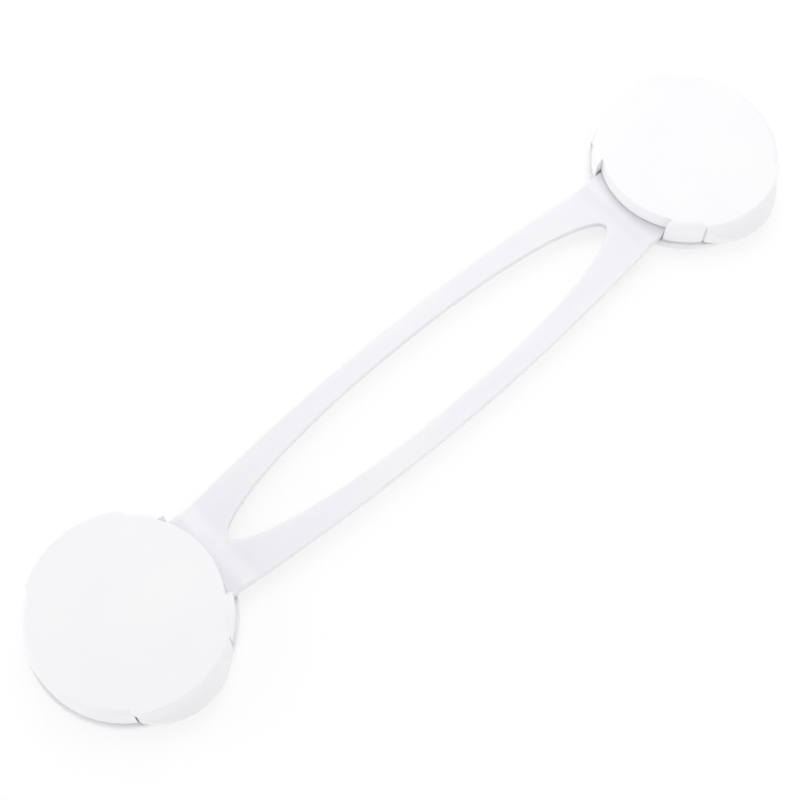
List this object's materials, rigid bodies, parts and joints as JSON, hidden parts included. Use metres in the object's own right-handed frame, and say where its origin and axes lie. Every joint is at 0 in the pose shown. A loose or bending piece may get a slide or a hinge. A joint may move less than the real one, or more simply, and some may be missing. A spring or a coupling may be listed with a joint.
{
  "type": "cabinet safety lock",
  "caption": "Flexible strap lock: round squeeze-release heads on adhesive bases, joined by a flat strap with a long almond opening, holds a cabinet door or drawer shut.",
  "frame": {"origin": "midway between the two heads, on the plane of the adhesive faces", "axes": "+X along the strap from head a to head b, +Y across the strap, +Z away from the surface that the lock sticks to"},
  "size_m": [0.2054, 0.0476, 0.0098],
  "materials": {
    "strap_plastic": "soft, slightly see-through moulded plastic, satin",
    "cap_plastic": "opaque white moulded plastic, fine satin texture",
    "tab_plastic": "opaque white moulded plastic, satin",
    "base_plastic": "opaque white moulded plastic, satin",
    "inner_plastic": "plain moulded plastic, matt",
    "spring_plastic": "natural acetal, smooth",
    "adhesive_foam": "closed-cell foam tape, matt",
    "screw_steel": "zinc plated steel"
  },
  "bodies": {
    "base_a": {"adhesive_pad_a": "adhesive_foam", "base_plate_a": "base_plastic"},
    "lock_a": {"strap": "strap_plastic", "cap_a": "cap_plastic", "retainer_plate_a": "inner_plastic", "retainer_screws_a": "screw_steel", "latch_spring_a_front": "spring_plastic", "latch_spring_a_back": "spring_plastic"},
    "lock_b": {"cap_b": "cap_plastic", "retainer_plate_b": "inner_plastic", "retainer_screws_b": "screw_steel", "latch_spring_b_front": "spring_plastic", "latch_spring_b_back": "spring_plastic"},
    "base_b": {"adhesive_pad_b": "adhesive_foam", "base_plate_b": "base_plastic"},
    "tab_a_front": {"squeeze_tab_a_front": "tab_plastic"},
    "tab_a_back": {"squeeze_tab_a_back": "tab_plastic"},
    "tab_b_front": {"squeeze_tab_b_front": "tab_plastic"},
    "tab_b_back": {"squeeze_tab_b_back": "tab_plastic"}
  },
  "joints": [
    {"name": "lift_a", "type": "slide", "parent": "base_a", "child": "lock_a", "axis": [0, 0, 1], "range_m": [0, 0.012], "deforming": ["latch_spring_a_front", "latch_spring_a_back"]},
    {"name": "strap_bend", "type": "hinge", "parent": "lock_a", "child": "lock_b", "pos_m": [0, 0, 0.0036], "axis": [0, -1, 0], "range_deg": [0, 90], "stiffness_Nm_per_rad": 0.02, "deforming": ["strap"]},
    {"name": "lift_b", "type": "slide", "parent": "lock_b", "child": "base_b", "axis": [0, 0, -1], "range_m": [0, 0.012], "deforming": ["latch_spring_b_front", "latch_spring_b_back"]},
    {"name": "squeeze_a_front", "type": "slide", "parent": "lock_a", "child": "tab_a_front", "axis": [0, 1, 0], "range_m": [0, 0.0016], "stiffness_N_per_m": 2000, "springref_m": -0.002, "deforming": ["latch_spring_a_front"]},
    {"name": "squeeze_a_back", "type": "slide", "parent": "lock_a", "child": "tab_a_back", "axis": [0, -1, 0], "range_m": [0, 0.0016], "stiffness_N_per_m": 2000, "springref_m": -0.002, "deforming": ["latch_spring_a_back"]},
    {"name": "squeeze_b_front", "type": "slide", "parent": "lock_b", "child": "tab_b_front", "axis": [0, 1, 0], "range_m": [0, 0.0016], "stiffness_N_per_m": 2000, "springref_m": -0.002, "deforming": ["latch_spring_b_front"]},
    {"name": "squeeze_b_back", "type": "slide", "parent": "lock_b", "child": "tab_b_back", "axis": [0, -1, 0], "range_m": [0, 0.0016], "stiffness_N_per_m": 2000, "springref_m": -0.002, "deforming": ["latch_spring_b_back"]}
  ]
}
